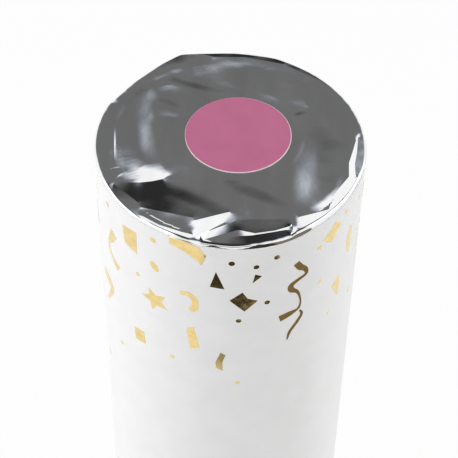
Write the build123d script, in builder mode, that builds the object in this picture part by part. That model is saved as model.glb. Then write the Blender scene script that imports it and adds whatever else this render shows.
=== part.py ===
"""Handheld confetti popper, fired by compressed air when its lower grip is twisted.

A cardboard barrel holds the confetti under a metallised film seal. The grip below it holds an
air bottle. Twisting the grip turns the bottle's valve collar round a plug that cannot turn, and
two helical slots in the collar lift the plug out of its seat.

Millimetres, +Z up along the tube, origin at the centre of the foot that the popper stands on.
"""

import math
import os

from build123d import *

# Cardboard tubes
tube_diameter = 50.0
tube_wall = 1.6
barrel_length = 194.0
grip_length = 82.0
twist_gap = 0.6
rim_round = 0.7

# Paper, film and label
wrap_thickness = 0.2
wrap_margin = 0.4
wrap_reveal = 1.0
foil_thickness = 0.1
foil_skirt = 12.0
sticker_diameter = 20.0
sticker_thickness = 0.12
sticker_offset_x = 1.4
sticker_offset_y = 2.3
glue_gap = 0.05

# Base cap
cap_flange_thickness = 2.4
cap_skirt_height = 9.0
cap_wall = 1.6
cap_foot_width = 5.0
cap_recess_depth = 0.8
cap_edge_round = 0.7
cap_rib_count = 6
cap_gate_diameter = 6.0

# Air bottle and its fill valve
bottle_clearance = 0.2
bottle_wall = 1.2
bottle_heel_round = 5.0
bottle_punt_depth = 4.0
shoulder_height = 9.0
shoulder_clearance = 1.0
neck_diameter = 24.0
neck_wall = 1.8
fill_hole_diameter = 6.0
fill_flange_width = 2.0
fill_flange_thickness = 1.2

# Coupler sleeve and thrust plate, which carry the grip's turn
sleeve_reach_down = 14.0
sleeve_reach_up = 13.0
sleeve_wall = 1.4
sleeve_clearance = 0.3
plate_thickness = 3.0
axial_play = 0.3
journal_clearance = 0.1

# Valve collar
collar_skirt_depth = 10.0
collar_skirt_wall = 2.0
collar_head_height = 9.0
collar_flange_width = 3.0
collar_flange_thickness = 2.5
journal_diameter = 24.0
vent_bore_diameter = 19.2
seat_bore_diameter = 17.0
gasket_thickness = 1.2
ring_thickness = 1.0
ring_groove_depth = 1.0
ring_width = 2.0
ring_gap_angle = 50.0
groove_clearance = 0.1

# Plug and its cam
twist_angle = 90.0
plug_lift = 5.0
pin_diameter = 3.0
slot_clearance = 0.3
slot_land = 1.6
slot_count = 2
plug_clearance = 0.15
plug_nose_height = 2.0
plug_stem_diameter = 12.0
o_ring_section = 2.0
o_ring_squeeze_gap = 0.05
seal_overlap = 1.4
groove_lip = 1.2
key_width = 8.0
key_clearance = 0.25
key_rise = 1.0

# Key bridge
bridge_foot_width = 5.5
bridge_foot_thickness = 2.0
bridge_post_margin = 0.6
bridge_arm_width = 5.0
bridge_arm_thickness = 3.0
bridge_arm_count = 3
bridge_hub_wall = 3.0
bridge_gap = 1.0

# Spacer sleeve, pusher and confetti
spacer_wall = 1.5
pusher_gap = 2.0
pusher_clearance = 0.4
pusher_card_thickness = 2.0
pusher_foam_thickness = 6.0
headspace = 30.0
tier_count = 2
tier_gap = 0.4
stack_clearance = 0.5
stack_gap = 0.8
stack_corner_angle = 40.0
slips_per_stack = 6
slip_gap = 0.15

# One overrun for every cut
overrun = 1.0

# Radii of the tubes and what lies on them
tube_radius = tube_diameter / 2
bore_radius = tube_radius - tube_wall
foil_inner_radius = tube_radius + glue_gap
foil_outer_radius = foil_inner_radius + foil_thickness
barrel_wrap_radius = foil_outer_radius + glue_gap
grip_wrap_radius = tube_radius + glue_gap
insert_radius = bore_radius - glue_gap

# Heights, from the foot up
grip_bottom_z = cap_flange_thickness
grip_top_z = grip_bottom_z + grip_length
barrel_bottom_z = grip_top_z + twist_gap
barrel_top_z = barrel_bottom_z + barrel_length
foil_top_z = barrel_top_z + foil_thickness
sleeve_bottom_z = grip_top_z - sleeve_reach_down
plate_bottom_z = barrel_bottom_z + sleeve_reach_up
plate_top_z = plate_bottom_z + plate_thickness

# Bottle
bottle_radius = bore_radius - bottle_clearance
bottle_bottom_z = grip_bottom_z + cap_skirt_height
neck_base_z = sleeve_bottom_z - shoulder_clearance
shoulder_z = neck_base_z - shoulder_height
neck_radius = neck_diameter / 2
neck_bore_radius = neck_radius - neck_wall
fill_hole_radius = fill_hole_diameter / 2
heel_in_radius = bottle_radius - bottle_heel_round
punt_radius = (heel_in_radius**2 + bottle_punt_depth**2) / (2 * bottle_punt_depth)
punt_top_z = bottle_bottom_z + bottle_punt_depth

# Collar
flange_top_z = plate_bottom_z - axial_play
collar_ledge_z = flange_top_z - collar_head_height
neck_top_z = collar_ledge_z - gasket_thickness
collar_skirt_bore = neck_radius + glue_gap
collar_skirt_radius = collar_skirt_bore + collar_skirt_wall
collar_flange_radius = collar_skirt_radius + collar_flange_width
journal_radius = journal_diameter / 2
vent_radius = vent_bore_diameter / 2
seat_radius = seat_bore_diameter / 2
groove_bottom_z = plate_top_z + axial_play
groove_top_z = groove_bottom_z + ring_thickness + groove_clearance
groove_radius = journal_radius - ring_groove_depth
ring_outer_radius = groove_radius + ring_width

# Cam: the pin climbs the slots by plug_lift while the grip turns through twist_angle
pin_radius = pin_diameter / 2
cam_rise_per_radian = plug_lift / math.radians(twist_angle)
slot_steepness = math.hypot(1, cam_rise_per_radian / vent_radius)
slot_half_height = pin_radius * slot_steepness + slot_clearance
slot_end_angle = math.degrees((pin_radius + slot_clearance) / vent_radius)
slot_end_rise = cam_rise_per_radian * math.radians(slot_end_angle)
pin_z = groove_top_z + slot_land + slot_end_rise + slot_half_height
collar_top_z = pin_z + plug_lift + slot_end_rise + slot_half_height + slot_land

# Plug
plug_radius = seat_radius - plug_clearance
plug_bottom_z = collar_ledge_z + plug_clearance
o_ring_radius = o_ring_section / 2
o_ring_centre_radius = seat_radius - o_ring_squeeze_gap - o_ring_radius
o_ring_z = plug_bottom_z + plug_nose_height + o_ring_radius
o_ring_groove_radius = o_ring_centre_radius - o_ring_radius - o_ring_squeeze_gap
seat_top_z = o_ring_z + o_ring_radius + seal_overlap
piston_top_z = o_ring_z + o_ring_radius + groove_lip
stem_radius = plug_stem_diameter / 2
stem_top_z = pin_z + pin_radius + slot_land

# Key bridge, whose arms stand clear above the collar and the lifted stem
arms_bottom_z = max(collar_top_z, stem_top_z + plug_lift) + bridge_gap
arms_top_z = arms_bottom_z + bridge_arm_thickness
key_top_z = arms_top_z + key_rise
foot_top_z = plate_top_z + bridge_foot_thickness
foot_inner_radius = insert_radius - bridge_foot_width
key_hole_width = key_width + 2 * key_clearance
hub_radius = key_hole_width / math.sqrt(2) + bridge_hub_wall

# Charge: pusher and confetti
pusher_z = key_top_z + plug_lift + pusher_gap
foam_z = pusher_z + pusher_card_thickness
confetti_z = foam_z + pusher_foam_thickness
pusher_radius = bore_radius - pusher_clearance
stack_reach = bore_radius - stack_clearance
stack_width = stack_reach * math.cos(math.radians(stack_corner_angle)) - stack_gap / 2
stack_depth = stack_reach * math.sin(math.radians(stack_corner_angle)) - stack_gap / 2
tier_pitch = (barrel_top_z - headspace - confetti_z) / tier_count
slip_length = tier_pitch - tier_gap
slip_pitch = stack_depth / slips_per_stack
slip_thickness = slip_pitch - slip_gap


def save(piece, name):
    """Labels a finished piece and writes its STEP file."""
    piece.part.label = name
    export_step(piece.part, f"parts/{name}.step")


def ring(bottom_z, top_z, inner_radius, outer_radius):
    """A plain tube between two heights."""
    with BuildPart() as tube:
        with BuildSketch(Plane.XY.offset(bottom_z)):
            Circle(outer_radius)
            Circle(inner_radius, mode=Mode.SUBTRACT)
        extrude(amount=top_z - bottom_z)
    return tube


def disc(bottom_z, thickness, radius):
    """A plain disc on the tube's axis."""
    with BuildPart() as plate:
        with BuildSketch(Plane.XY.offset(bottom_z)):
            Circle(radius)
        extrude(amount=thickness)
    return plate


os.makedirs("parts", exist_ok=True)

# Barrel tube, with the muzzle's outer edge worn round
with BuildPart() as barrel_tube:
    with BuildSketch(Plane.XY.offset(barrel_bottom_z)):
        Circle(tube_radius)
        Circle(bore_radius, mode=Mode.SUBTRACT)
    extrude(amount=barrel_length)
    muzzle_edges = barrel_tube.edges().group_by(Axis.Z)[-1]
    fillet(muzzle_edges.sort_by(SortBy.RADIUS)[-1], radius=rim_round)
save(barrel_tube, "barrel_tube")

# Printed paper wrap on the barrel, over the film's skirt
barrel_wrap = ring(
    barrel_bottom_z + wrap_margin,
    barrel_top_z - wrap_reveal,
    barrel_wrap_radius,
    barrel_wrap_radius + wrap_thickness,
)
save(barrel_wrap, "barrel_wrap")

# Film seal, drawn over the muzzle and down the outside of the barrel
with BuildPart() as muzzle_foil:
    with BuildSketch(Plane.XZ):
        with BuildLine():
            rim_in = foil_inner_radius - rim_round
            rim_z = barrel_top_z - rim_round
            skirt_z = barrel_top_z - foil_skirt
            Line((0, barrel_top_z), (rim_in, barrel_top_z))
            RadiusArc((rim_in, barrel_top_z), (foil_inner_radius, rim_z), rim_round)
            Line((foil_inner_radius, rim_z), (foil_inner_radius, skirt_z))
            Line((foil_inner_radius, skirt_z), (foil_outer_radius, skirt_z))
            Line((foil_outer_radius, skirt_z), (foil_outer_radius, rim_z))
            RadiusArc((foil_outer_radius, rim_z), (rim_in, foil_top_z), -rim_round - foil_thickness)
            Line((rim_in, foil_top_z), (0, foil_top_z))
            Line((0, foil_top_z), (0, barrel_top_z))
        make_face()
    revolve(axis=Axis.Z)
save(muzzle_foil, "muzzle_foil")

# Round colour sticker, off centre on the film
with BuildPart() as colour_sticker:
    with BuildSketch(Plane.XY.offset(foil_top_z)):
        with Locations((sticker_offset_x, sticker_offset_y)):
            Circle(sticker_diameter / 2)
    extrude(amount=sticker_thickness)
save(colour_sticker, "colour_sticker")

# Coupler sleeve: glued in the barrel, and the journal that the grip turns on
with BuildPart() as coupler_sleeve:
    sleeve_radius = bore_radius - sleeve_clearance
    with BuildSketch(Plane.XY.offset(sleeve_bottom_z)):
        Circle(sleeve_radius)
    extrude(amount=plate_bottom_z - sleeve_bottom_z)
    with BuildSketch(Plane.XY.offset(barrel_bottom_z)):
        Circle(insert_radius)
    extrude(amount=plate_bottom_z - barrel_bottom_z)
    with BuildSketch(Plane.XY.offset(sleeve_bottom_z)):
        Circle(sleeve_radius - sleeve_wall)
    extrude(amount=plate_bottom_z - sleeve_bottom_z, mode=Mode.SUBTRACT)
save(coupler_sleeve, "coupler_sleeve")

# Thrust plate: held in the barrel, with the bore that the collar turns in
with BuildPart() as thrust_plate:
    with BuildSketch(Plane.XY.offset(plate_bottom_z)):
        Circle(insert_radius)
        Circle(journal_radius + journal_clearance, mode=Mode.SUBTRACT)
    extrude(amount=plate_thickness)
save(thrust_plate, "thrust_plate")

# Key bridge: stands on the thrust plate and keeps the plug from turning
with BuildPart() as key_bridge:
    with BuildSketch(Plane.XY.offset(plate_top_z)):
        Circle(insert_radius)
        Circle(foot_inner_radius, mode=Mode.SUBTRACT)
    extrude(amount=bridge_foot_thickness)
    post_inner_radius = foot_inner_radius + bridge_post_margin
    post_outer_radius = insert_radius - spacer_wall - pusher_clearance
    post_middle = (post_inner_radius + post_outer_radius) / 2
    post_depth = post_outer_radius - post_inner_radius
    with BuildSketch(Plane.XY.offset(foot_top_z)):
        with PolarLocations(post_middle, bridge_arm_count):
            Rectangle(post_depth, bridge_arm_width)
    extrude(amount=arms_bottom_z - foot_top_z)
    with BuildSketch(Plane.XY.offset(arms_bottom_z)):
        Circle(hub_radius)
        with PolarLocations(post_outer_radius / 2, bridge_arm_count):
            Rectangle(post_outer_radius, bridge_arm_width)
        Rectangle(key_hole_width, key_hole_width, mode=Mode.SUBTRACT)
    extrude(amount=bridge_arm_thickness)
save(key_bridge, "key_bridge")

# Spacer sleeve: carries the pusher above the key bridge
spacer_sleeve = ring(foot_top_z, pusher_z, insert_radius - spacer_wall, insert_radius)
save(spacer_sleeve, "spacer_sleeve")

# Grip tube and its wrap
grip_tube = ring(grip_bottom_z, grip_top_z, bore_radius, tube_radius)
save(grip_tube, "grip_tube")
grip_wrap = ring(
    grip_bottom_z + wrap_margin,
    grip_top_z - wrap_margin,
    grip_wrap_radius,
    grip_wrap_radius + wrap_thickness,
)
save(grip_wrap, "grip_wrap")

# Base cap: a flanged plug in the grip's lower end, standing on a ring foot
with BuildPart() as base_cap:
    cap_radius = grip_wrap_radius + wrap_thickness
    skirt_radius = bore_radius - glue_gap
    with BuildSketch():
        Circle(cap_radius)
    extrude(amount=cap_flange_thickness)
    fillet(base_cap.edges(), radius=cap_edge_round)
    with BuildSketch(Plane.XY.offset(cap_flange_thickness)):
        Circle(skirt_radius)
        Circle(skirt_radius - cap_wall, mode=Mode.SUBTRACT)
    extrude(amount=cap_skirt_height)
    with BuildSketch(Plane.XY.offset(cap_flange_thickness)):
        with PolarLocations(skirt_radius / 2, cap_rib_count):
            Rectangle(skirt_radius - cap_wall, cap_wall)
    extrude(amount=cap_skirt_height)
    with BuildSketch():
        Circle(cap_radius - cap_edge_round - cap_foot_width)
        Circle(cap_gate_diameter / 2, mode=Mode.SUBTRACT)
    extrude(amount=cap_recess_depth, mode=Mode.SUBTRACT)
    with BuildSketch():
        Circle(cap_gate_diameter / 2)
    extrude(amount=cap_recess_depth / 2, mode=Mode.SUBTRACT)
save(base_cap, "base_cap")


def bottle_profile(inset):
    """Half section of the bottle, inset all round by a wall, with its neck left full height."""
    side = bottle_radius - inset
    heel = bottle_heel_round - inset
    bottom = bottle_bottom_z + inset
    neck = neck_bore_radius if inset else neck_radius
    shoulder_bottom = shoulder_z - inset
    shoulder_top = neck_base_z - inset
    Line((0, neck_top_z), (0, bottom + bottle_punt_depth))
    RadiusArc((0, bottom + bottle_punt_depth), (heel_in_radius, bottom), punt_radius)
    RadiusArc((heel_in_radius, bottom), (side, bottom + heel), -heel)
    Line((side, bottom + heel), (side, shoulder_bottom))
    EllipticalCenterArc((neck, shoulder_bottom), side - neck, shoulder_height)
    Line((neck, shoulder_top), (neck, neck_top_z))
    Line((neck, neck_top_z), (0, neck_top_z))


# Air bottle, with a domed foot and a hole for its fill valve
with BuildPart() as air_bottle:
    with BuildSketch(Plane.XZ):
        with BuildLine():
            bottle_profile(0)
        make_face()
    revolve(axis=Axis.Z)
    with BuildSketch(Plane.XZ):
        with BuildLine():
            bottle_profile(bottle_wall)
        make_face()
    revolve(axis=Axis.Z, mode=Mode.SUBTRACT)
    with BuildSketch(Plane.XY.offset(bottle_bottom_z)):
        Circle(fill_hole_radius)
    extrude(amount=bottle_punt_depth + bottle_wall + overrun, mode=Mode.SUBTRACT)
save(air_bottle, "air_bottle")

# Fill valve: a rubber grommet in the bottle's foot
with BuildPart() as fill_valve:
    fill_flange_radius = fill_hole_radius + fill_flange_width
    dome_drop = punt_radius - math.sqrt(punt_radius**2 - fill_flange_radius**2)
    outer_flange_top_z = punt_top_z - dome_drop - glue_gap
    inner_flange_z = punt_top_z + bottle_wall + glue_gap
    valve_bottom_z = outer_flange_top_z - fill_flange_thickness
    valve_top_z = inner_flange_z + fill_flange_thickness
    with BuildSketch(Plane.XY.offset(valve_bottom_z)):
        Circle(fill_flange_radius)
    extrude(amount=fill_flange_thickness)
    with BuildSketch(Plane.XY.offset(valve_bottom_z)):
        Circle(fill_hole_radius - glue_gap)
    extrude(amount=valve_top_z - valve_bottom_z)
    with BuildSketch(Plane.XY.offset(inner_flange_z)):
        Circle(fill_flange_radius)
    extrude(amount=fill_flange_thickness)
    rims = fill_valve.edges().filter_by(GeomType.CIRCLE).sort_by(Axis.Z)
    chamfer([rims[0], rims[-1]], length=fill_flange_thickness / 2)
save(fill_valve, "fill_valve")

# One helical slot of the collar: it climbs as the collar turns forwards past the pin
with BuildPart() as cam_slot:
    slot_radius = (vent_radius + journal_radius) / 2
    slot_width = journal_radius - vent_radius + 2 * overrun
    with BuildLine():
        slot_path = Helix(
            pitch=plug_lift * 360 / twist_angle,
            height=plug_lift + 2 * slot_end_rise,
            radius=slot_radius,
            center=(0, 0, pin_z - slot_end_rise),
            lefthand=True,
        )
    with BuildSketch(Plane(origin=slot_path @ 0, x_dir=(1, 0, 0), z_dir=slot_path % 0)):
        Rectangle(slot_width, 2 * slot_half_height)
    sweep(path=slot_path, is_frenet=True)

# Valve collar: fixed on the bottle's neck, it turns in the thrust plate round the plug
with BuildPart() as valve_collar:
    skirt_bottom_z = neck_top_z - collar_skirt_depth
    flange_bottom_z = flange_top_z - collar_flange_thickness
    vent_z = seat_top_z + vent_radius - seat_radius
    with BuildSketch(Plane.XZ):
        Polygon(
            (collar_skirt_bore, skirt_bottom_z),
            (collar_skirt_radius, skirt_bottom_z),
            (collar_skirt_radius, flange_bottom_z),
            (collar_flange_radius, flange_bottom_z),
            (collar_flange_radius, flange_top_z),
            (journal_radius, flange_top_z),
            (journal_radius, groove_bottom_z),
            (groove_radius, groove_bottom_z),
            (groove_radius, groove_top_z),
            (journal_radius, groove_top_z),
            (journal_radius, collar_top_z),
            (vent_radius, collar_top_z),
            (vent_radius, vent_z),
            (seat_radius, seat_top_z),
            (seat_radius, collar_ledge_z),
            (collar_skirt_bore, collar_ledge_z),
            align=None,
        )
    revolve(axis=Axis.Z)
    with PolarLocations(0, slot_count, start_angle=slot_end_angle):
        add(cam_slot.part, mode=Mode.SUBTRACT)
save(valve_collar, "valve_collar")

# Gasket between the bottle's lip and the collar
neck_gasket = ring(neck_top_z, collar_ledge_z, neck_bore_radius, neck_radius)
save(neck_gasket, "neck_gasket")

# Retaining ring in the collar's groove, above the thrust plate
with BuildPart() as retaining_ring:
    gap_reach = ring_outer_radius + overrun
    gap_half_width = gap_reach * math.tan(math.radians(ring_gap_angle / 2))
    with BuildSketch(Plane.XY.offset(groove_bottom_z)):
        Circle(ring_outer_radius)
        Circle(groove_radius + glue_gap, mode=Mode.SUBTRACT)
        Polygon(
            (0, 0),
            (gap_reach, -gap_half_width),
            (gap_reach, gap_half_width),
            align=None,
            mode=Mode.SUBTRACT,
        )
    extrude(amount=ring_thickness)
save(retaining_ring, "retaining_ring")

# Valve plug: piston with a ring groove, stem with a cross hole, and a square key on top
with BuildPart() as valve_plug:
    groove_half_height = o_ring_radius + o_ring_squeeze_gap
    with BuildSketch(Plane.XZ):
        Polygon(
            (0, plug_bottom_z),
            (plug_radius, plug_bottom_z),
            (plug_radius, o_ring_z - groove_half_height),
            (o_ring_groove_radius, o_ring_z - groove_half_height),
            (o_ring_groove_radius, o_ring_z + groove_half_height),
            (plug_radius, o_ring_z + groove_half_height),
            (plug_radius, piston_top_z),
            (stem_radius, piston_top_z),
            (stem_radius, stem_top_z),
            (0, stem_top_z),
            align=None,
        )
    revolve(axis=Axis.Z)
    with BuildSketch(Plane.XY.offset(stem_top_z)):
        Rectangle(key_width, key_width)
    extrude(amount=key_top_z - stem_top_z)
    with BuildSketch(Plane.YZ):
        with Locations((0, pin_z)):
            Circle(pin_radius + glue_gap)
    extrude(amount=stem_radius + overrun, both=True, mode=Mode.SUBTRACT)
save(valve_plug, "valve_plug")

# Sealing ring in the plug's groove
with BuildPart() as plug_o_ring:
    with BuildSketch(Plane.XZ):
        with Locations((o_ring_centre_radius, o_ring_z)):
            Circle(o_ring_radius)
    revolve(axis=Axis.Z)
save(plug_o_ring, "plug_o_ring")

# Cam pin: crosses the plug, with an end in each helical slot
with BuildPart() as cam_pin:
    with BuildSketch(Plane.YZ):
        with Locations((0, pin_z)):
            Circle(pin_radius)
    extrude(amount=journal_radius - slot_clearance, both=True)
save(cam_pin, "cam_pin")

# Pusher: a card disc with a foam pad on it, under the confetti
pusher_card = disc(pusher_z, pusher_card_thickness, pusher_radius)
save(pusher_card, "pusher_card")
pusher_foam = disc(foam_z, pusher_foam_thickness, pusher_radius)
save(pusher_foam, "pusher_foam")


def confetti(places):
    """Stacks of paper slips on edge, one stack for each (tier, x side, y side)."""
    with BuildPart() as stacks:
        for tier, x_side, y_side in places:
            stack_x = x_side * (stack_gap + stack_width) / 2
            stack_y = y_side * (stack_gap + stack_depth) / 2
            with BuildSketch(Plane.XY.offset(confetti_z + tier * tier_pitch)):
                with Locations((stack_x, stack_y)):
                    with GridLocations(0, slip_pitch, 1, slips_per_stack):
                        Rectangle(stack_width, slip_thickness)
            extrude(amount=slip_length)
    return stacks


# Confetti: four stacks of slips in each tier, with the colours changing places from tier to tier
quarters = [(-1, -1), (1, -1), (1, 1), (-1, 1)]
colours = ["pink_confetti", "white_confetti", "pink_confetti", "gold_confetti"]
colour_places = {colour: [] for colour in colours}
for tier in range(tier_count):
    for quarter, (x_side, y_side) in enumerate(quarters):
        colour = colours[(quarter + tier) % len(colours)]
        colour_places[colour].append((tier, x_side, y_side))
for colour, places in colour_places.items():
    save(confetti(places), colour)
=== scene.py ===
"""Looks of the confetti popper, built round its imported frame. Lengths are metres, with +Z up."""

import math
import random

import bmesh
import bpy
import numpy as np
from mathutils import Matrix, Vector, noise
from mathutils.geometry import delaunay_2d_cdt


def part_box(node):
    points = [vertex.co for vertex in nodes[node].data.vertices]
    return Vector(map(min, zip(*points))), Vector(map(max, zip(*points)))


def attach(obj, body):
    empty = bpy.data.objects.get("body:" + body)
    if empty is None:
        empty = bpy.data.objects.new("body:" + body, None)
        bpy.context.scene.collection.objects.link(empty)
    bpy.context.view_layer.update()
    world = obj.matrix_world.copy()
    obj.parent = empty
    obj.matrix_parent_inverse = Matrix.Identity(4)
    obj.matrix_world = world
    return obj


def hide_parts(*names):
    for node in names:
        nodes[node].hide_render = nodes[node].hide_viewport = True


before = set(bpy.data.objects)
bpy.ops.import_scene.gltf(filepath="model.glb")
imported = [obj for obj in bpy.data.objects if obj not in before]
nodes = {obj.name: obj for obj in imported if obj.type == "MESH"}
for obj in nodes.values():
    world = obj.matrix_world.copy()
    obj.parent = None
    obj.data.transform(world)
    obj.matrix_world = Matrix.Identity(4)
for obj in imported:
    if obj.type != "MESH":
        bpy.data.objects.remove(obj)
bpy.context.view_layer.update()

# Places that the frame gives
tube_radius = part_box("barrel_tube")[1].x
rim_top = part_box("barrel_tube")[1].z
bore_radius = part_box("coupler_sleeve")[1].x
film_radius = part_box("muzzle_foil")[1].x
film_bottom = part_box("muzzle_foil")[0].z
film_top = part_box("muzzle_foil")[1].z
sticker_low, sticker_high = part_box("colour_sticker")
sticker_centre = (sticker_low + sticker_high) / 2
sticker_radius = (sticker_high.x - sticker_low.x) / 2
barrel_paper_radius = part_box("barrel_wrap")[1].x
grip_paper_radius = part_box("grip_wrap")[1].x
grip_paper_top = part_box("grip_wrap")[1].z
foam_low, foam_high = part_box("pusher_foam")

# Camera, set back from the middle of the rim
camera_setback = 0.21296
camera_rise = 0.21348
camera_elevation = math.radians(48.065)
camera_roll = math.radians(1.097)
camera_lens = 126.93
camera_sensor = 36.0
clip_near = 0.01
clip_far = 20.0

# Film over the muzzle
film_step = 0.0004
film_rim_width = 0.0004
film_rim_steps = 5
film_flat_radius = film_radius - film_rim_width
film_fade_width = 0.0035
film_segments = 480
film_tuck_drop = 0.0008
film_side_drop = 0.0016
board_gap = 0.00003
board_margin = 0.0003
refine_rounds = 7
relax_rounds = 1200
crease_reach = 1e-6
net_slack = 1e-7
sliver_cosine = 0.9999
crease_angle = math.radians(9)
sticker_ring_points = 24
sticker_ring_share = 1.08
sticker_clear_share = 1.04
sticker_fade_share = 1.25
fold_height = 0.001
flat_rise_share = 0.25
flat_rise = flat_rise_share * fold_height
crumple_height = 0.00007
crumple_size = 0.0075
crumple_decay = 0.8
crumple_ratio = 2.0
crumple_layers = 2
crinkle_height = 0.000004
crinkle_size = 0.0016
rim_wave = 0.00003
rim_wave_size = 0.0016
pleat_count = 64
pleat_depth = 0.00016
pleat_seed = 11
side_pleat_share = 0.6
spline_steps = 5

# Rise of the film's rim, as a share of the fold height, by the angle in degrees round from the right
rim_rise_shares = [
    (-180, 0.35), (-168, 0.5), (-154, 0.5), (-144, 0.2), (-130, 0.1), (-124, 0.38), (-112, 0.38),
    (-106, 0.15), (-101, 0.25), (-95, 0.1), (-88, 0), (-64, 0), (-61.5, 0.35), (-57, 0.58), (-45, 0.65),
    (-24, 0.6), (-10, 0.45), (14, 0.3), (24, 0.25), (45, 0.3), (70, 0.34), (80, 0.28), (92, 0.31),
    (101, 0.41), (107, 0.55), (113, 0.8), (119, 0.6), (130, 0.25), (149, -0.03), (156, 0.25), (180, 0.35),
]

# How far the film stands out past the rim, in the same way
rim_reach_shares = [
    (-180, 0.2), (-150, 0), (60, 0), (69, 0.2), (80, 0), (100, 0.1), (113, 0.9), (132, -0.1), (149, -0.1),
    (156, 0.3), (180, 0.2),
]

# Sharp creases: places across and away, as shares of the tube's radius, and the rise, as a share of
# the fold height
crease_shares = {
    "right band, foot": [
        (0.9, 0.37, 0.22), (0.937, 0.06, 0.1), (0.908, -0.055, 0.02), (0.877, -0.17, -0.06),
        (0.872, -0.31, -0.06), (0.787, -0.433, -0.06), (0.75, -0.5, -0.06), (0.716, -0.64, 0),
        (0.495, -0.724, 0), (0.488, -0.845, 0.4),
    ],
    "right band, crest": [
        (0.953, 0.08, 0.42), (0.938, -0.08, 0.55), (0.918, -0.2, 0.6), (0.918, -0.31, 0.6),
    ],
    "left crest": [
        (-0.83, -0.42, 0.53), (-0.76, -0.43, 0.57), (-0.65, -0.44, 0.84), (-0.566, -0.432, 0.97),
        (-0.49, -0.405, 0.86), (-0.44, -0.35, 0.55),
    ],
    "left crest, back foot": [
        (-0.71, -0.4, 0.65), (-0.66, -0.27, 0.44), (-0.6, -0.2, 0.4), (-0.52, -0.22, 0.36),
        (-0.44, -0.35, 0.55),
    ],
    "left shelf": [
        (-0.76, -0.42, 0.57), (-0.77, -0.32, 0.41), (-0.79, -0.15, 0.37), (-0.8, 0, 0.36), (-0.8, 0.2, 0.3),
        (-0.8, 0.4, 0.15),
    ],
    "left slope, foot": [
        (-0.845, -0.45, 0.58), (-0.66, -0.606, -0.08), (-0.635, -0.653, -0.16), (-0.435, -0.694, -0.3),
        (-0.26, -0.738, -0.3), (-0.241, -0.764, -0.26), (-0.005, -0.687, -0.04),
    ],
    "left lip": [
        (-0.62, -0.74, -0.06), (-0.5, -0.82, -0.07), (-0.335, -0.885, -0.07), (-0.25, -0.91, -0.04),
    ],
    "front tuck": [
        (-0.005, -0.687, -0.04), (-0.037, -0.807, 0.45), (-0.148, -0.899, 0.72), (-0.2, -0.935, 0.8),
        (-0.241, -0.764, -0.26),
    ],
    "front fan, crest": [(-0.2, -0.935, 0.8), (0.056, -0.776, 0.28)],
    "front fan, valley": [(-0.17, -0.955, 0.1), (0.064, -0.86, 0.03)],
    "front fold": [
        (0.056, -0.776, 0.28), (0.134, -0.757, 0.28), (0.434, -0.742, 0.17), (0.455, -0.845, 0.08),
    ],
    "front valley": [
        (0.064, -0.86, 0.03), (0.185, -0.885, -0.06), (0.327, -0.855, -0.06), (0.44, -0.81, 0),
    ],
    "front roll": [
        (0.03, -0.925, 0.1), (0.165, -0.917, 0.28), (0.29, -0.887, 0.28), (0.395, -0.858, 0.2),
        (0.455, -0.845, 0.08),
    ],
    "back border": [
        (0.85, 0.487, 0.22), (0.652, 0.724, 0.23), (0.407, 0.886, 0.17), (0.101, 0.962, 0.13),
        (-0.15, 0.955, 0.2),
    ],
}

# Soft folds: places and rises along each fold's line, and the widths of its left and right slopes
soft_fold_shares = {
    "left streak": (
        [
            (-0.73, 0.62, 0), (-0.75, 0.45, -0.28), (-0.75, 0.25, -0.44), (-0.73, 0.05, -0.48),
            (-0.69, -0.12, -0.4), (-0.61, -0.28, -0.26), (-0.56, -0.44, 0),
        ],
        0.19, 0.24,
    ),
    "right streak": (
        [(0.69, 0.2, 0), (0.69, -0.1, -0.44), (0.69, -0.36, -0.64), (0.69, -0.54, -0.45), (0.69, -0.8, 0)],
        0.24, 0.27,
    ),
    "left slope": (
        [(-0.5, -0.41, 0), (-0.33, -0.47, 0.17), (-0.15, -0.56, 0.14), (0.03, -0.65, 0)], 0.25, 0.12,
    ),
    "back fold": (
        [
            (-0.66, 0.66, 0), (-0.47, 0.72, 0.18), (-0.36, 0.69, 0.22), (-0.22, 0.64, 0.2),
            (-0.08, 0.61, 0.12), (0.06, 0.59, 0),
        ],
        0.32, 0.1,
    ),
    "short back fold": ([(-0.7, 0.68, 0), (-0.6, 0.6, 0.05), (-0.49, 0.49, 0)], 0.12, 0.1),
    "high ripple": (
        [(-0.64, 0.55, 0), (-0.5, 0.49, 0.15), (-0.4, 0.44, 0.14), (-0.27, 0.38, 0)], 0.22, 0.1,
    ),
    "low ripple": (
        [(-0.62, 0.29, 0), (-0.52, 0.26, 0.11), (-0.44, 0.24, 0.11), (-0.33, 0.2, 0)], 0.11, 0.09,
    ),
    "side fold": ([(0.45, 0.315, 0), (0.52, 0.36, 0.12), (0.6, 0.405, 0)], 0.25, 0.05),
    "back patch": ([(0.33, 0.8, 0), (0.335, 0.6, -0.07), (0.34, 0.42, 0)], 0.2, 0.15),
    "front valley, soft": (
        [(-0.14, -0.4, 0), (0, -0.47, -0.11), (0.15, -0.56, -0.14), (0.3, -0.64, -0.13), (0.44, -0.7, 0)],
        0.13, 0.26,
    ),
}

# Thin creases: places and rises along each line, and the width of its slopes
thin_crease_shares = {
    "left upright": ([(-0.88, 0.17, 0), (-0.865, -0.05, 0.08), (-0.851, -0.26, 0)], 0.014),
    "left fan": ([(-0.92, -0.33, 0), (-0.86, -0.3, 0.05), (-0.8, -0.28, 0)], 0.014),
    "left hook": ([(-0.844, -0.4, 0), (-0.81, -0.35, -0.06), (-0.785, -0.32, 0)], 0.02),
    "front upright": ([(0.102, -0.5, 0), (0.106, -0.6, 0.03), (0.11, -0.72, 0)], 0.014),
}

# Sticker, whose pink print lies a little off its middle
sticker_points = 96
sticker_round_share = 0.3
pink_radius_share = 0.9905
pink_middle_share = 0.6
pink_shift_shares = (-0.004, 0.0035)

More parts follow.
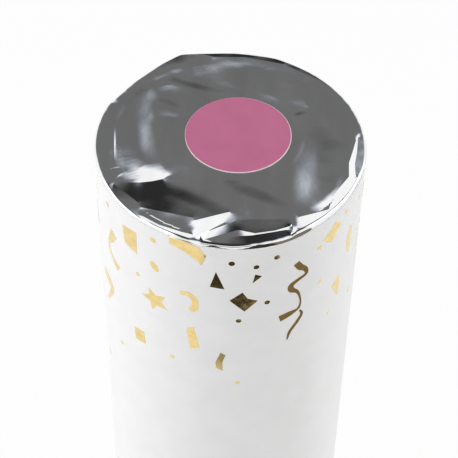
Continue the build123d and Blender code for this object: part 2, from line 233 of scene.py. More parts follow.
# Paper wraps, each with one glued lap
paper_thickness = 0.0002
paper_segments = 240
paper_ring_pitch = 0.003
paper_ripple = 0.00004
paper_ripple_size = 0.016
paper_edge_angle = math.radians(50)
seam_angle = math.radians(150)
seam_width = 0.007
seam_step = 0.00008

# How far the barrel paper's top edge lies below the rim, as a share of the edge drop, by the angle in
# degrees round from the front
edge_drop = 0.001
edge_drop_shares = [
    (-180, 0.9), (-120, 0.6), (-90, 0.2), (-60, 0.3), (-25, 0.3), (-8, 0.8), (0, 1), (14, 1.4), (26, 1.3),
    (40, 0.6), (60, 0.4), (90, 0.3), (130, 0.6), (180, 0.9),
]

# Gold print on the paper
print_thickness = 0.00003
print_strip = 0.0007
print_edge_angle = math.radians(50)
dot_points = 20
star_tips = 5

# Motifs of the print: places round from the front and down from the rim, the widths of ribbons and the
# radii of dots, all as shares of the wrap's radius
patch_shares = {
    "left diamond": [(-0.87, 0.18), (-0.72, 0.15), (-0.724, 0.386), (-0.85, 0.354)],
    "rim band": [
        (-0.43, 0.012), (-0.3, 0.012), (-0.213, 0.036), (-0.157, 0.118), (-0.19, 0.224), (-0.232, 0.177),
        (-0.31, 0.118), (-0.433, 0.079),
    ],
    "middle triangle": [(-0.087, 0.276), (-0.024, 0.461), (-0.13, 0.445)],
    "low left diamond": [(-0.787, 1.276), (-0.68, 1.252), (-0.673, 1.39), (-0.772, 1.413)],
    "low bar": [(-0.307, 0.972), (-0.248, 0.945), (-0.205, 1.169), (-0.276, 1.209)],
    "curved bar": [
        (-0.047, 1.205), (-0.008, 1.232), (-0.031, 1.319), (-0.028, 1.425), (-0.079, 1.394),
        (-0.083, 1.323),
    ],
    "small triangle": [(0.193, 0.315), (0.244, 0.343), (0.177, 0.406)],
    "kite": [(0.106, 0.5), (0.143, 0.571), (0.22, 0.61), (0.124, 0.717), (0.013, 0.587)],
    "right diamond": [(0.866, 0.11), (0.937, 0.177), (0.831, 0.303), (0.74, 0.213)],
    "right sliver": [(1.094, 0.346), (1.122, 0.374), (1.122, 0.63), (1.075, 0.634), (1.043, 0.488)],
    "right triangle": [(0.972, 0.787), (0.996, 0.89), (0.98, 1.035), (0.89, 0.85)],
    "far diamond": [(1.42, 0.32), (1.5, 0.24), (1.56, 0.36), (1.47, 0.44)],
    "far bar": [(-1.5, 0.5), (-1.44, 0.48), (-1.4, 0.7), (-1.46, 0.72)],
}
ribbon_shares = {
    "hook": [
        (-1.0, 0.4, 0.085), (-1.05, 0.5, 0.07), (-1.09, 0.57, 0.03), (-1.085, 0.65, 0.03),
        (-1.03, 0.71, 0.04), (-0.955, 0.76, 0.085),
    ],
    "curl": [
        (-0.354, 0.585, 0.035), (-0.295, 0.57, 0.045), (-0.244, 0.62, 0.045), (-0.24, 0.7, 0.055),
        (-0.272, 0.75, 0.055),
    ],
    "left streamer": [(-1.24, 1.04, 0.08), (-1.14, 1.07, 0.1), (-1.09, 1.14, 0.06), (-1.2, 1.35, 0.02)],
    "squiggle": [
        (0.508, 0.307, 0.05), (0.543, 0.366, 0.055), (0.59, 0.417, 0.04), (0.598, 0.472, 0.03),
        (0.535, 0.5, 0.035), (0.476, 0.535, 0.045), (0.48, 0.587, 0.05), (0.531, 0.638, 0.028),
        (0.559, 0.724, 0.016), (0.563, 0.795, 0.018), (0.547, 0.843, 0.03),
    ],
    "squiggle leaf": [(0.547, 0.843, 0.02), (0.472, 0.862, 0.06), (0.394, 0.882, 0.07)],
    "squiggle tail": [
        (0.563, 0.866, 0.016), (0.583, 0.921, 0.026), (0.547, 0.992, 0.034), (0.488, 1.079, 0.03),
        (0.469, 1.165, 0.012),
    ],
    "far streamer": [
        (1.3, 0.62, 0.05), (1.36, 0.7, 0.05), (1.3, 0.8, 0.03), (1.36, 0.9, 0.03), (1.31, 1.02, 0.015),
    ],
}
dot_shares = [
    (-0.567, 0.122, 0.024), (-0.724, 0.61, 0.018), (-0.425, 1.378, 0.02), (0.087, 1.579, 0.02),
    (0.083, 0.823, 0.021), (0.024, 0.181, 0.023), (0.2, 0.236, 0.021), (0.35, 0.173, 0.022),
    (0.291, 0.65, 0.021), (0.713, 0.268, 0.022), (0.74, 0.669, 0.018), (0.878, 1.146, 0.016),
    (1.0, 0.114, 0.02), (-0.965, 1.654, 0.02), (-1.26, 2.1, 0.03), (-1.076, 0.157, 0.022),
    (1.25, 0.2, 0.022), (1.45, 0.66, 0.02), (1.2, 1.2, 0.018), (-1.36, 0.25, 0.022), (-1.5, 1.0, 0.02),
]
# The same motifs lower down the barrel and on the grip, by name and middle, and more dots
low_motif_shares = [
    ("low left diamond", -1.2, 3.7), ("curl", 0.95, 3.4), ("small triangle", -0.35, 3.6),
    ("low bar", 0.3, 4), ("right sliver", -0.95, 4.1), ("kite", 1.2, 4.4), ("curved bar", -0.2, 4.7),
    ("hook", 0.6, 5.1), ("middle triangle", -1.3, 5.2), ("left diamond", -0.65, 5.6), ("star", 1.1, 5.8),
    ("squiggle tail", 0.15, 6.1), ("right triangle", -1.1, 6.4), ("right diamond", 0.7, 6.7),
    ("curl", -0.35, 6.9), ("low left diamond", 1.35, 7),
]
low_dot_shares = [
    (-0.7, 3.2, 0.02), (0.1, 3.2, 0.02), (1.3, 3.7, 0.022), (-0.6, 4.4, 0.018), (0.75, 4.5, 0.02),
    (0.2, 5.3, 0.022), (-0.95, 4.8, 0.02), (1.45, 5.2, 0.018), (-0.1, 5.8, 0.02), (0.5, 6.3, 0.022),
    (-0.75, 6.2, 0.018), (1, 6.5, 0.02), (-1.35, 6.9, 0.022), (0.15, 7.1, 0.02),
]
grip_motif_shares = [
    ("right diamond", -1.15, 0.45), ("curl", -0.3, 0.5), ("small triangle", 0.45, 0.4),
    ("hook", 1.15, 0.75), ("star", 0.1, 1.05), ("low bar", -0.75, 1.1), ("kite", 1.3, 1.55),
    ("squiggle tail", 0.6, 1.6), ("left diamond", -1.3, 1.85), ("curved bar", -0.35, 1.8),
    ("middle triangle", 0.95, 2.3), ("right sliver", -0.8, 2.5), ("low left diamond", 0.2, 2.55),
    ("right triangle", 1.4, 2.7),
]
grip_dot_shares = [
    (-0.7, 0.3, 0.02), (0.8, 0.35, 0.022), (-1.45, 0.8, 0.018), (0.5, 0.95, 0.02), (-0.2, 1.4, 0.022),
    (0.95, 1.3, 0.018), (-0.9, 1.7, 0.02), (0.25, 2.05, 0.022), (-0.45, 2.3, 0.018), (0.65, 2.8, 0.02),
    (-1.25, 2.75, 0.022),
]
# An oval and a star: the middle, two radii and a turn in radians
oval_dot_share = (-0.561, 0.406, 0.03, 0.05, -0.6)
star_share = (-0.567, 0.785, 0.125, 0.056, 0.5)

# Foam pad: its half section, as shares of its radius and height
foam_profile_shares = [
    (0.96, 0), (0.985, 0.06), (0.98, 0.3), (0.975, 0.5), (0.98, 0.7), (0.985, 0.86), (0.965, 0.94),
    (0.92, 0.975), (0.75, 0.99), (0.5, 1), (0.25, 1), (0.05, 1),
]
foam_segments = 96
foam_dent = 0.0001
foam_dent_size = 0.005

# Finishes: the two tones, the smooth and rough ends of the roughness, and the depth of the relief
board_look = ([(0.5, 0.4, 0.28), (0.72, 0.61, 0.46)], (0.75, 0.95), 0.00008)
paper_look = ([(0.885, 0.882, 0.88), (0.915, 0.915, 0.915)], (0.42, 0.55), 0.000012)
film_look = ([(0.86, 0.86, 0.87), (0.95, 0.955, 0.965)], (0.03, 0.09), 0.000006)
gold_look = ([(0.8, 0.6, 0.24), (0.9, 0.72, 0.34)], (0.07, 0.16), 0.000002)
label_look = ([(0.5, 0.138, 0.258), (0.53, 0.15, 0.272)], (0.4, 0.5), 0.00001)
foam_look = ([(0.9, 0.9, 0.88), (0.7, 0.7, 0.68)], (0.8, 0.98), 0.0002)

# Grains of the finishes, the shares in which they are mixed, and the shares of a field that a look spans
soft_detail = 2.0
mid_detail = 3.0
fine_detail = 4.0
middle_shares = (0.3, 0.7)
board_fibre = 0.0006
board_fibre_stretch = (1, 1, 3)
board_winding_scale = 12.0
board_winding_waver = 0.6
board_winding_share = 0.15
paper_fibre = 0.0004
paper_cloud = 0.006
paper_cloud_share = 0.5
film_rub = 0.004
film_rub_stretch = (1, 0.25, 1)
film_grain = 0.0009
gold_patch = 0.0012
label_fibre = 0.0005
label_cloud = 0.005
label_fibre_share = 0.3
label_tone_shares = (0.4, 0.9)
foam_pore = 0.0009
foam_tone_shares = (0.1, 0.8)
foam_rough_shares = (0, 0.8)
foam_relief_share = 0.6

# Drawn metals: colour, stretch of the drawn lines, and roughness
drawn_line = 0.0004
drawn_stain = 0.007
drawn_stain_share = 0.4
drawn_rough_shares = (0.4, 1.0)
drawn_colour_shares = (0.93, 1.04)
drawn_relief = 0.00001
drawn_looks = {
    "bottle_metal": ((0.78, 0.79, 0.8), (1, 1, 0.05), (0.22, 0.4)),
    "spring_steel": ((0.6, 0.6, 0.62), (0.1, 0.1, 1), (0.2, 0.35)),
}

# Grained finishes: colour, grain, relief, roughness, shares of the colour in its tones, and gloss
broad_grain_share = 9
broad_tone_share = 0.5
grained_tone_shares = (0.5, 1.0)
even_shares = (0.92, 1.04)
card_rough = (0.9, 1.0)
grained_looks = {
    "label_paper_edge": ((0.8, 0.66, 0.7), 0.0003, 0.00001, (0.5, 0.7), even_shares, {}),
    "cap_plastic": ((0.86, 0.86, 0.85), 0.0008, 0.00002, (0.34, 0.5), even_shares, {}),
    "valve_acetal": ((0.8, 0.8, 0.78), 0.001, 0.000015, (0.3, 0.45), even_shares, {}),
    "plug_acetal": ((0.12, 0.12, 0.13), 0.001, 0.000015, (0.3, 0.45), even_shares, {}),
    "seal_rubber": ((0.03, 0.03, 0.03), 0.0005, 0.00002, (0.55, 0.75), (0.7, 1.4), {}),
    "pink_tissue": ((0.72, 0.29, 0.44), 0.0007, 0.00003, (0.75, 0.9), (0.88, 1.06), {}),
    "white_tissue": ((0.9, 0.9, 0.88), 0.0007, 0.00003, (0.75, 0.9), even_shares, {}),
    "gold_slips": ((0.83, 0.62, 0.25), 0.0012, 0.00002, (0.22, 0.36), (0.92, 1.06), {"metallic": 1.0}),
    # Finishes of the cards that only reflections see: their dark colours paint dark reflections into the
    # film and the gold
    "dark_reflection_card": ((0.04, 0.035, 0.03), 0.002, 0.0001, card_rough, even_shares, {"specular": 0.0}),
    "brown_reflection_card": ((0.22, 0.19, 0.15), 0.002, 0.0001, card_rough, even_shares, {"specular": 0.0}),
}

# Nodes that keep their solids, by finish
solid_nodes = {
    "spiral_board": ["barrel_tube", "spacer_sleeve", "grip_tube", "pusher_card"],
    "cap_plastic": ["base_cap"],
    "valve_acetal": ["coupler_sleeve", "thrust_plate", "key_bridge", "valve_collar"],
    "plug_acetal": ["valve_plug"],
    "seal_rubber": ["fill_valve", "neck_gasket", "plug_o_ring"],
    "bottle_metal": ["air_bottle"],
    "spring_steel": ["retaining_ring", "cam_pin"],
    "pink_tissue": ["pink_confetti"],
    "white_tissue": ["white_confetti"],
    "gold_slips": ["gold_confetti"],
}

# Stage and lamps
white = (1, 1, 1)
floor_half = 6.0
floor_colour = (0.95, 0.95, 0.95)
floor_glow_share = 0.9
lamp_size = (1.05, 0.9)
lamp_aim = (0, 0, 0.2)
left_lamp_place = (-0.8, -0.15, 0.75)
left_lamp_level = 1.76
right_lamp_place = (0.85, 0.1, 0.75)
right_lamp_level = 1.22
fill_level = 0.57

# Dark cards just over the floor in front, which only reflections see, so that they paint dark reflections
# into the film and the gold: two corners and the finish of each
card_lift = 0.0005
card_corners = {
    "near_card": ((-0.09, -0.45), (0.18, -0.213), "dark_reflection_card"),
    "corner_card": ((0.1, -0.213), (0.18, -0.19), "dark_reflection_card"),
    "side_card": ((0.12, -0.19), (0.32, -0.05), "brown_reflection_card"),
    "far_card": ((-1.2, -2.2), (1.2, -0.45), "dark_reflection_card"),
}

# What mirrors see: bright walls past these sideways parts or under these upward parts of a direction,
# and between them a ceiling that darkens towards the front
wall_edges = (0.1, 0.38)
wall_tint = (0.62, 0.7, 0.86)
horizon_edges = (0.66, 0.5)
ceiling_edges = (0.43, 0.64)
ceiling_levels = (0.025, 0.156)


def eased(share):
    """A share from 0 to 1 that starts and ends gently."""
    return share * share * (3 - 2 * share)


def ring_angles(count):
    """Even angles round a ring."""
    return [math.tau * index / count for index in range(count)]


def ring_point(radius, angle):
    """A place round the axis, at an angle round from the right."""
    return radius * math.cos(angle), radius * math.sin(angle)


def wrap_point(radius, angle, height):
    """A place round a wrap, at an angle round from the front."""
    return radius * math.sin(angle), -radius * math.cos(angle), height


def spline(line):
    """A smooth line through points, as more points."""
    path = []
    for index in range(len(line) - 1):
        ends = [Vector(line[min(max(index + shift, 0), len(line) - 1)]) for shift in (-1, 0, 1, 2)]
        for step in range(spline_steps):
            share = step / spline_steps
            straight = (ends[2] - ends[0]) * share
            curved = (2 * ends[0] - 5 * ends[1] + 4 * ends[2] - ends[3]) * share**2
            twisted = (3 * ends[1] - ends[0] - 3 * ends[2] + ends[3]) * share**3
            path.append(ends[1] + (straight + curved + twisted) / 2)
    path.append(Vector(line[-1]))
    return path


def bridge(bm, lower, upper):
    """Makes the faces between two rings of corners."""
    faces = []
    for index in range(len(lower)):
        following = (index + 1) % len(lower)
        faces.append(bm.faces.new((lower[index], lower[following], upper[following], upper[index])))
    return faces


def loft(rings):
    """A mesh through rings of places, closed at both ends, and its bands of faces from end to end."""
    bm = bmesh.new()
    rings = [[bm.verts.new(place) for place in ring] for ring in rings]
    bands = [[bm.faces.new(reversed(rings[0]))]]
    bands += [bridge(bm, lower, upper) for lower, upper in zip(rings, rings[1:])]
    bands.append([bm.faces.new(rings[-1])])
    return bm, bands


def link_mesh(name, bm, *materials):
    """Makes a mesh into an object of those materials."""
    mesh = bpy.data.meshes.new(name)
    bm.to_mesh(mesh)
    bm.free()
    for material in materials:
        mesh.materials.append(material)
    made = bpy.data.objects.new(name, mesh)
    bpy.context.scene.collection.objects.link(made)
    return made


def link_piece(name, bm, body, slot, *materials):
    """Makes a mesh into a smooth piece of those materials that rides on a body; the slot is not used."""
    piece = link_mesh(name, bm, *materials)
    piece.data.shade_smooth()
    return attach(piece, body)


# Materials
class Nodes:
    """A tree of shader nodes, with short names for the nodes that it is made of."""

    def __init__(self, owner):
        owner.use_nodes = True
        self.tree = owner.node_tree

    def put(self, value, socket):
        """Links an output to a socket, or sets the socket to a plain value."""
        if isinstance(value, bpy.types.NodeSocket):
            self.tree.links.new(value, socket)
        else:
            socket.default_value = value

    def node(self, kind, **inputs):
        """A node of that kind, with sockets named in inputs linked or set."""
        made = self.tree.nodes.new(kind)
        for socket, value in inputs.items():
            self.put(value, made.inputs[socket.replace("_", " ")])
        return made

    def reckon(self, operation, *values):
        """What an operation makes of outputs or numbers."""
        made = self.node("ShaderNodeMath")
        made.operation = operation
        for value, socket in zip(values, made.inputs):
            self.put(value, socket)
        return made.outputs[0]

    def mix(self, share, first, second):
        """A mix of two shaders, with that share of the second one."""
        made = self.node("ShaderNodeMixShader")
        for value, socket in zip((share, first, second), made.inputs):
            self.put(value, socket)
        return made.outputs[0]

    def ramp(self, field, levels, edges=middle_shares, kind="LINEAR"):
        """A number that runs between two levels while the field runs between two edges."""
        made = self.node("ShaderNodeMapRange", Value=field)
        made.interpolation_type = kind
        for value, socket in zip((*edges, *levels), ("From Min", "From Max", "To Min", "To Max")):
            made.inputs[socket].default_value = value
        return made.outputs["Result"]

    def tones(self, field, colours, edges=middle_shares):
        """A colour that runs between two colours while the field runs between two edges."""
        made = self.node("ShaderNodeValToRGB", Fac=field)
        for element, edge, colour in zip(made.color_ramp.elements, edges, colours):
            element.position = edge
            element.color = (*colour, 1)
        return made.outputs["Color"]

    def show(self, shader, end):
        """Links a shader to the node at the tree's end."""
        self.tree.links.new(shader, self.tree.nodes[end].inputs["Surface"])


class Finish(Nodes):
    """A procedural material."""

    def __init__(self, name, metallic=0.0, specular=0.5, coat=0.0, coat_roughness=0.1, sheen=0.0):
        self.material = bpy.data.materials.new(name)
        super().__init__(self.material)
        self.shader = self.tree.nodes["Principled BSDF"]
        self.shader.inputs["Metallic"].default_value = metallic
        self.shader.inputs["Specular IOR Level"].default_value = specular
        self.shader.inputs["Coat Weight"].default_value = coat
        self.shader.inputs["Coat Roughness"].default_value = coat_roughness
        self.shader.inputs["Sheen Weight"].default_value = sheen

    def place(self, stretch=(1, 1, 1)):
        """The point on the object in metres, stretched along each axis."""
        point = self.node("ShaderNodeTexCoord").outputs["Object"]
        return self.node("ShaderNodeMapping", Vector=point, Scale=stretch).outputs["Vector"]

    def noise(self, grain, detail=mid_detail, stretch=(1, 1, 1)):
        """Noise with grains of that length."""
        made = self.node("ShaderNodeTexNoise", Vector=self.place(stretch), Scale=1 / grain, Detail=detail)
        return made.outputs["Fac"]

    def add(self, first, second, second_share):
        """The first field with a share of the second one added."""
        return self.reckon("MULTIPLY_ADD", second, second_share, first)

    def made(self, tone_field, rough_field, relief_field, look, tone_shares=middle_shares,
             rough_shares=middle_shares, relief_share=1.0):
        """The material, with a look's tones, roughness and relief, each along a field."""
        tones, rough, depth = look
        bump = self.node("ShaderNodeBump", Height=relief_field, Distance=depth, Strength=relief_share)
        self.put(self.tones(tone_field, tones, tone_shares), self.shader.inputs["Base Color"])
        self.put(self.ramp(rough_field, rough, rough_shares), self.shader.inputs["Roughness"])
        self.put(bump.outputs["Normal"], self.shader.inputs["Normal"])
        return self.material


def shades(colour, shares):
    """A colour brightened or darkened by each share."""
    return [tuple(channel * share for channel in colour) for share in shares]


def grained_finish(name, colour, grain, depth, rough, colour_shares, gloss):
    """A finish with mottled colour, uneven gloss and a fine relief, all from one grain."""
    finish = Finish(name, **gloss)
    field = finish.noise(grain)
    broad = finish.noise(grain * broad_grain_share)
    mixed = finish.add(field, broad, broad_tone_share)
    look = (shades(colour, colour_shares), rough, depth)
    return finish.made(mixed, broad, field, look, tone_shares=grained_tone_shares)


def board_finish():
    """Spiral-wound grey-brown board: fibres along the winding and thin gaps between its turns."""
    finish = Finish("spiral_board", specular=0.3)
    fibres = finish.noise(board_fibre, fine_detail, board_fibre_stretch)
    winding = finish.node(
        "ShaderNodeTexWave", Vector=finish.place(), Scale=board_winding_scale, Distortion=board_winding_waver
    )
    winding.bands_direction = "DIAGONAL"
    mixed = finish.add(fibres, winding.outputs["Fac"], board_winding_share)
    return finish.made(mixed, fibres, mixed, board_look)


def paper_finish():
    """Smooth coated white paper with a faint mottle and a soft satin gloss."""
    finish = Finish("white_paper", specular=0.4, coat=0.12, coat_roughness=0.35)
    fibres = finish.noise(paper_fibre)
    clouds = finish.noise(paper_cloud, soft_detail)
    return finish.made(clouds, clouds, finish.add(fibres, clouds, paper_cloud_share), paper_look)


def film_finish():
    """Metallised film: a mirror with faint rubbed streaks and a very fine crinkle."""
    finish = Finish("metal_film", metallic=1.0)
    rubs = finish.noise(film_rub, fine_detail, film_rub_stretch)
    return finish.made(rubs, rubs, finish.noise(film_grain, soft_detail), film_look)


def gold_finish():
    """Hot-stamped gold foil, a little uneven where it took to the paper."""
    finish = Finish("gold_stamp", metallic=1.0)
    patches = finish.noise(gold_patch, fine_detail)
    return finish.made(patches, patches, patches, gold_look)


def label_finish():
    """Printed label paper: an even pink ink with a faint fibre mottle."""
    finish = Finish("pink_label", specular=0.35, coat=0.1, coat_roughness=0.3)
    fibres = finish.noise(label_fibre)
    clouds = finish.noise(label_cloud, soft_detail)
    mixed = finish.add(clouds, fibres, label_fibre_share)
    return finish.made(mixed, clouds, fibres, label_look, tone_shares=label_tone_shares)


def drawn_finish(name, colour, stretch, rough):
    """Bright metal with fine lines along the way that it was drawn."""
    finish = Finish(name, metallic=1.0)
    lines = finish.noise(drawn_line, fine_detail, stretch)
    stains = finish.noise(drawn_stain)
    mixed = finish.add(lines, stains, drawn_stain_share)
    look = (shades(colour, drawn_colour_shares), rough, drawn_relief)
    return finish.made(stains, mixed, lines, look, rough_shares=drawn_rough_shares)


def foam_finish():
    """Soft white foam with open pores."""
    finish = Finish("pad_foam", specular=0.2, sheen=0.3)
    pores = finish.node("ShaderNodeTexVoronoi", Vector=finish.place(), Scale=1 / foam_pore)
    cells = pores.outputs["Distance"]
    return finish.made(
        cells, cells, cells, foam_look, foam_tone_shares, foam_rough_shares, foam_relief_share
    )


paper = paper_finish()
gold = gold_finish()
finishes = {"spiral_board": board_finish()}
for name, looks in drawn_looks.items():
    finishes[name] = drawn_finish(name, *looks)
for name, looks in grained_looks.items():
    finishes[name] = grained_finish(name, *looks)
for name, kept_nodes in solid_nodes.items():
    for node in kept_nodes:
        for material_slot in nodes[node].material_slots:
            material_slot.material = finishes[name]


# Film
def film_line(line):
    """A line's places and rises in metres."""
    return np.array(line) * (tube_radius, tube_radius, fold_height)


def rim_rise(angle):
    """Height of the film where it starts to turn down over the rim, above the frame's film."""
    degrees, shares = zip(*rim_rise_shares)
    wave = rim_wave * noise.noise(Vector(ring_point(film_radius, angle)).to_3d() / rim_wave_size)
    return fold_height * float(np.interp(math.degrees(angle), degrees, shares)) + wave


def rim_reach(angle):
    """Radius at which the film starts to turn down over the rim."""
    degrees, shares = zip(*rim_reach_shares)
    return film_flat_radius + fold_height * float(np.interp(math.degrees(angle), degrees, shares))


def creased_net():
    """The film's top as flat facets between its creases."""
    points = []
    edges = []
    for index in range(film_segments):
        angle = math.tau * (index / film_segments - 0.5)
        points.append((*ring_point(rim_reach(angle), angle), rim_rise(angle)))
        edges.append((index, (index + 1) % film_segments))
    thin_lines = [line for line, width in thin_crease_shares.values()]
    for line in [*crease_shares.values(), *thin_lines]:
        for step, (x, y, rise) in enumerate(film_line(line)):
            if step:
                edges.append((len(points) - 1, len(points)))
            points.append((x, y, flat_rise if line in thin_lines else rise))
    for angle in ring_angles(sticker_ring_points):
        x, y = ring_point(sticker_radius * sticker_ring_share, angle)
        points.append((sticker_centre.x + x, sticker_centre.y + y, flat_rise))
    made = delaunay_2d_cdt([Vector(point[:2]) for point in points], edges, [], 0, net_slack)
    places, faces, sources = made[0], made[2], made[3]
    bm = bmesh.new()
    for place, source in zip(places, sources):
        bm.verts.new((*place, points[source[0]][2] if source else flat_rise))
    bm.verts.ensure_lookup_table()
    for face in faces:
        bm.faces.new([bm.verts[index] for index in face])
    return bm


def refine(bm):
    """Splits edges until few are longer than the film's step."""
    for _ in range(refine_rounds):
        long_edges = [edge for edge in bm.edges if edge.calc_length() > film_step and not edge.is_boundary]
        bmesh.ops.subdivide_edges(bm, edges=long_edges, cuts=1)
        bmesh.ops.triangulate(bm, faces=[face for face in bm.faces if len(face.verts) > 3])


def beside_line(places, line):
    """How far places lie from a line of points, whether on its left, and the line's rise beside them."""
    distances = np.full(len(places), np.inf)
    on_left = np.zeros(len(places), bool)
    rises = np.zeros(len(places))
    for start, end in zip(line, line[1:]):
        along = (end - start)[:2]
        shares = np.clip((places - start[:2]) @ along / (along @ along), 0, 1)
        offsets = places - start[:2] - shares[:, None] * along
        lengths = np.linalg.norm(offsets, axis=1)
        nearer = lengths < distances
        on_left[nearer] = (along[0] * offsets[:, 1] - along[1] * offsets[:, 0] > 0)[nearer]
        rises[nearer] = (start[2] + (end[2] - start[2]) * shares)[nearer]
        distances[nearer] = lengths[nearer]
    return distances, on_left, rises


def pulls(places, triangles):
    """Each corner's pull on its neighbours in the net, by mean value weights, which keep a plane plane."""
    sources = []
    targets = []
    weights = []
    for turn in range(3):
        corner, following, last = np.roll(triangles, -turn, axis=1).T
        ahead = places[following] - places[corner]
        behind = places[last] - places[corner]
        ahead_length = np.maximum(np.linalg.norm(ahead, axis=1), net_slack)
        behind_length = np.maximum(np.linalg.norm(behind, axis=1), net_slack)
        cosine = np.sum(ahead * behind, axis=1) / (ahead_length * behind_length)
        cosine = np.clip(cosine, -sliver_cosine, sliver_cosine)
        half_tangent = np.sqrt((1 - cosine) / (1 + cosine))
        sources += [corner, corner]
        targets += [following, last]
        weights += [half_tangent / ahead_length, half_tangent / behind_length]
    return np.concatenate(sources), np.concatenate(targets), np.concatenate(weights)


def relax(heights, places, triangles, fixed):
    """Evens out the heights between fixed places, as a stretched film does."""
    sources, targets, weights = pulls(places, triangles)
    moving = ~fixed[sources]
    sources, targets, weights = sources[moving], targets[moving], weights[moving]
    total_weight = np.bincount(sources, weights, len(heights))
    total_weight[fixed] = 1
    for _ in range(relax_rounds):
        total = np.bincount(sources, weights * heights[targets], len(heights))
        heights = np.where(fixed, heights, total / total_weight)
    return heights


def fold_rises(places, line, left_share, right_share):
    """Height that a fold adds: its rise on the line, and smoothly none past its slopes."""
    distances, on_left, rises = beside_line(places, film_line(spline(line)))
    widths = np.where(on_left, left_share, right_share) * tube_radius
    shares = np.clip(1 - distances / widths, 0, 1)
    return rises * eased(shares)


def folds(places):
    """Height that all the soft folds and thin creases add."""
    heights = np.zeros(len(places))
    for line, left_share, right_share in soft_fold_shares.values():
        heights += fold_rises(places, line, left_share, right_share)
    for line, width_share in thin_crease_shares.values():
        heights += fold_rises(places, line, width_share, width_share)
    return heights


def crumples(places):
    """Small uneven heights of the film."""
    heights = []
    for place in places:
        point = Vector((*place, 0))
        broad = noise.fractal(point / crumple_size, crumple_decay, crumple_ratio, crumple_layers)
        heights.append(crumple_height * broad + crinkle_height * noise.noise(point / crinkle_size))
    return np.array(heights)


def film_heights(bm):
    """Heights of the film's top: sharp creases, a stretched skin between them, folds and crumples."""
    corners = np.array([vert.co for vert in bm.verts])
    places = corners[:, :2]
    triangles = np.array([[vert.index for vert in face.verts] for face in bm.faces])
    fixed = np.array([vert.is_boundary for vert in bm.verts])
    for line in crease_shares.values():
        fixed |= beside_line(places, film_line(line))[0] < crease_reach
    from_sticker = np.linalg.norm(places - np.array(sticker_centre)[:2], axis=1) / sticker_radius
    fixed |= from_sticker < sticker_clear_share
    heights = relax(np.where(fixed, corners[:, 2], flat_rise), places, triangles, fixed)
    clear = np.clip((from_sticker - 1) / (sticker_fade_share - 1), 0, 1)
    from_middle = np.linalg.norm(places, axis=1)
    clear *= eased(np.clip((film_flat_radius - from_middle) / film_fade_width, 0, 1))
    heights += clear * (folds(places) + crumples(places))
    on_board = from_middle > bore_radius - board_margin
    return np.where(on_board, np.maximum(heights, rim_top + board_gap - film_top), heights)


def pleat_at(pleats, angle):
    """Share of the pleats' depth at an angle, between the pleats to its two sides."""
    position = angle / math.tau % 1 * pleat_count
    return float(np.interp(position, range(pleat_count + 1), [*pleats, pleats[0]]))


def film_rim(bm):
    """Turns the film down over the rim, with small pleats, and on under the paper."""
    pleat_draw = random.Random(pleat_seed)
    pleats = [pleat_draw.random() for _ in range(pleat_count)]
    rim = sorted(
        {vert for edge in bm.edges if edge.is_boundary for vert in edge.verts},
        key=lambda vert: math.atan2(vert.co.y, vert.co.x),
    )
    drops = []
    for step in range(1, film_rim_steps + 1):
        turn = math.pi / 2 * step / film_rim_steps
        drops.append((film_rim_width * math.sin(turn), film_rim_width * (1 - math.cos(turn)), min(1, turn)))
    drops.append((film_rim_width, film_tuck_drop, side_pleat_share))
    drops.append((film_rim_width, film_side_drop, side_pleat_share))
    drops.append((film_rim_width, film_top - film_bottom, 0))
    before = rim
    for ring, (reach, drop, pleat_share) in enumerate(drops):
        turning = ring < film_rim_steps
        after = []
        for vert in rim:
            angle = math.atan2(vert.co.y, vert.co.x)
            start = rim_reach(angle) if turning else film_flat_radius
            rise = rim_rise(angle) if turning else 0
            radius = start + reach + pleat_depth * pleat_at(pleats, angle) * pleat_share
            after.append(bm.verts.new((*ring_point(radius, angle), rise - drop)))
        bridge(bm, after, before)
        before = after


def build_film():
    """The film over the muzzle, in the place of the frame's film."""
    bm = creased_net()
    refine(bm)
    bm.verts.index_update()
    for vert, height in zip(bm.verts, film_heights(bm)):
        vert.co.z = height
    film_rim(bm)
    bmesh.ops.translate(bm, verts=bm.verts, vec=(0, 0, film_top))
    bmesh.ops.recalc_face_normals(bm, faces=bm.faces)
    film = link_piece("muzzle_film", bm, "barrel", "silver_film", film_finish())
    film.data.set_sharp_from_angle(angle=crease_angle)
    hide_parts("muzzle_foil")
    return film


muzzle_film = build_film()


# Sticker
def build_sticker():
    """A die-cut paper disc whose pink print sits a little off centre, so that a pale edge shows."""
    thickness = sticker_high.z - sticker_low.z
    edge_round = thickness * sticker_round_share
    foot = Vector((*sticker_centre.xy, film_top + flat_rise))
    shift = Vector((*pink_shift_shares, 0)) * sticker_radius
    profile = [
        (sticker_radius, 0, 0),
        (sticker_radius, thickness - edge_round, 0),
        (sticker_radius - edge_round, thickness, 0),
        (sticker_radius * pink_radius_share, thickness, 1),
        (sticker_radius * pink_middle_share, thickness, 1),
    ]
    rings = []
    for radius, rise, shifted in profile:
        middle = foot + shift * shifted
        points = [ring_point(radius, angle) for angle in ring_angles(sticker_points)]
        rings.append([middle + Vector((*point, rise)) for point in points])
    bm, bands = loft(rings)
    for band in bands[:-2]:
        for face in band:
            face.material_index = 1
    sticker = link_piece(
        "round_sticker", bm, "barrel", "pink_label", label_finish(), finishes["label_paper_edge"]
    )
    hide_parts("colour_sticker")


build_sticker()


# Paper wraps
def barrel_edge(angle):
    """Height of the barrel paper's top edge, at an angle round from the front."""
    degrees = math.degrees(angle)
    for (low, low_share), (high, high_share) in zip(edge_drop_shares, edge_drop_shares[1:]):
        if low <= degrees <= high:
            way = eased((degrees - low) / (high - low))
            return rim_top - edge_drop * (low_share + (high_share - low_share) * way)
    return rim_top - edge_drop * edge_drop_shares[-1][1]


def grip_edge(angle):
    """Height of the grip paper's top edge, which is straight."""
    return grip_paper_top


def paper_radius(outer, angle, height):
    """Radius of a wrap's outer face: a faint ripple, and one more layer at the glued lap."""
    lap = 1.0 if seam_angle <= angle <= seam_angle + seam_width / outer else 0.0
    ripple = noise.noise(Vector(wrap_point(outer, angle, height)) / paper_ripple_size)
    return outer + lap * seam_step + paper_ripple * (ripple - 1)


